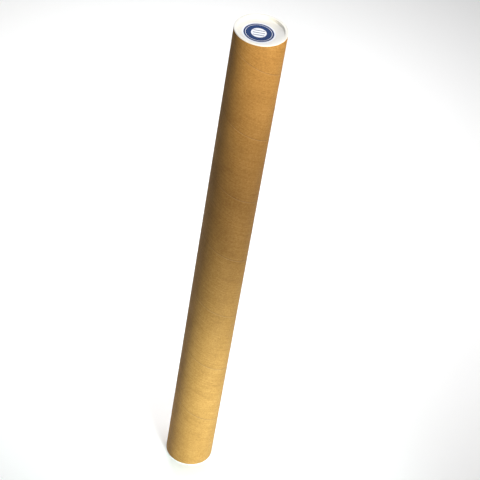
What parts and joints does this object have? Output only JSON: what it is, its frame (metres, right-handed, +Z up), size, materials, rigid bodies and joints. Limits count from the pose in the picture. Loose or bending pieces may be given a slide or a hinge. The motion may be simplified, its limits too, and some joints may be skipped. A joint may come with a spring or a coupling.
{
  "type": "drawing tube",
  "caption": "Tall spiral-wound kraft board tube for rolled drawings, closed at both ends by flush push-in white plastic caps; round paper label in the top cap's recess.",
  "frame": {"origin": "centre of the bottom cap's outer face, which the tube stands on", "axes": "+Z up the tube's axis towards the labelled top cap; -Y is the front, where the outer ply's first joint crosses 39 mm below the tube's top"},
  "size_m": [0.08, 0.08, 0.9032],
  "materials": {
    "kraft_outer": "matte",
    "kraft_core": "matte",
    "kraft_inner": "matte",
    "cap_plastic": "satin",
    "label_paper": "satin"
  },
  "bodies": {
    "tube": {"outer_ply": "kraft_outer", "core_ply_1": "kraft_core", "core_ply_2": "kraft_core", "core_ply_3": "kraft_core", "core_ply_4": "kraft_core", "inner_ply": "kraft_inner"},
    "top_plug": {"top_cap": "cap_plastic", "top_label": "label_paper"},
    "bottom_plug": {"bottom_cap": "cap_plastic"}
  },
  "joints": [
    {"name": "top_cap_slide", "type": "slide", "parent": "tube", "child": "top_plug", "axis": [0, 0, 1], "range_m": [0, 0.12]},
    {"name": "bottom_cap_slide", "type": "slide", "parent": "tube", "child": "bottom_plug", "axis": [0, 0, -1], "range_m": [0, 0.12]}
  ]
}
